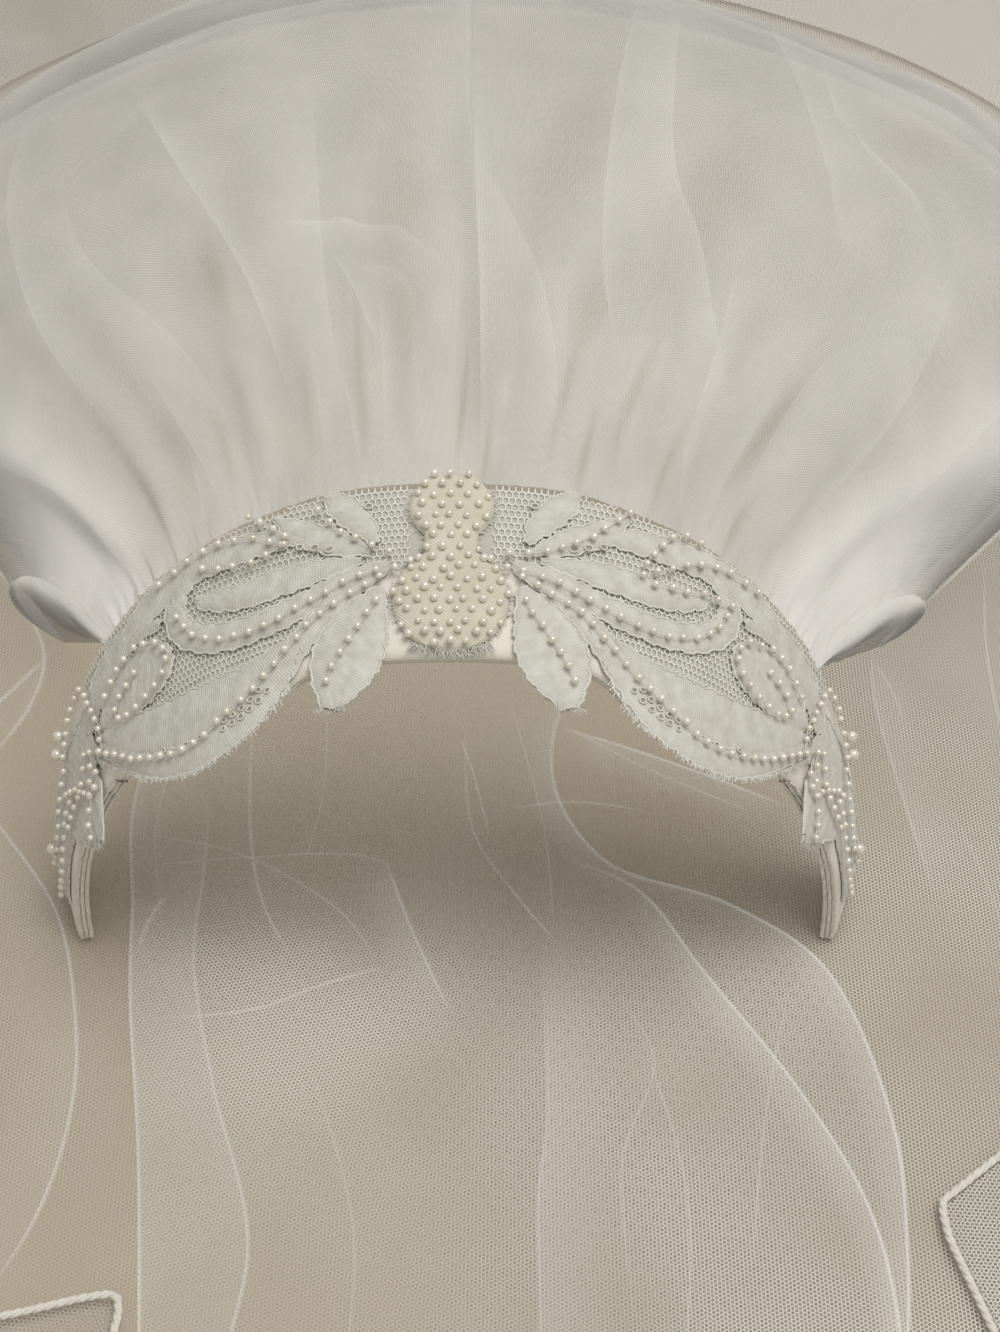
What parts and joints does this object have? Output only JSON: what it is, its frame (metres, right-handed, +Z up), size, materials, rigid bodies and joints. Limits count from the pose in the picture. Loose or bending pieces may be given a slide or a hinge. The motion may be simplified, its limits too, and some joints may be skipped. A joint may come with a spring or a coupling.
{
  "type": "bridal veil with beaded lace headband, laid out",
  "caption": "Bridal veil laid on a surface: a beaded lace headband standing on its ends, a gathered tulle pouf behind it, and two tulle tiers with corded hems spread under it.",
  "frame": {"origin": "middle of the bounding box, on the surface that the veil lies on", "axes": "+X to the right as seen from in front of the headband, +Y away from the viewer towards the back of the veil, +Z up"},
  "size_m": [0.846, 0.746, 0.1066],
  "materials": {
    "tulle": "sheer soft white nylon net, matt with a faint sheen",
    "lace": "re-embroidered white lace, satin threads on a net ground",
    "medallion": "cream padded ground under close pearls",
    "satin": "ivory satin over a stiff padded band",
    "cord": "fine cream satin cord",
    "pearl": "ivory imitation pearl, glossy with a soft lustre"
  },
  "bodies": {
    "root": {"long_tier": "tulle", "long_tier_cord": "cord", "short_tier": "tulle", "short_tier_cord": "cord", "pouf": "tulle", "headband_base": "satin", "lace_medallion": "medallion", "lace_spray_left": "lace", "lace_spray_right": "lace", "lace_petal_left": "lace", "lace_petal_right": "lace", "lace_leg_left": "lace", "lace_leg_right": "lace"}
  },
  "joints": []
}
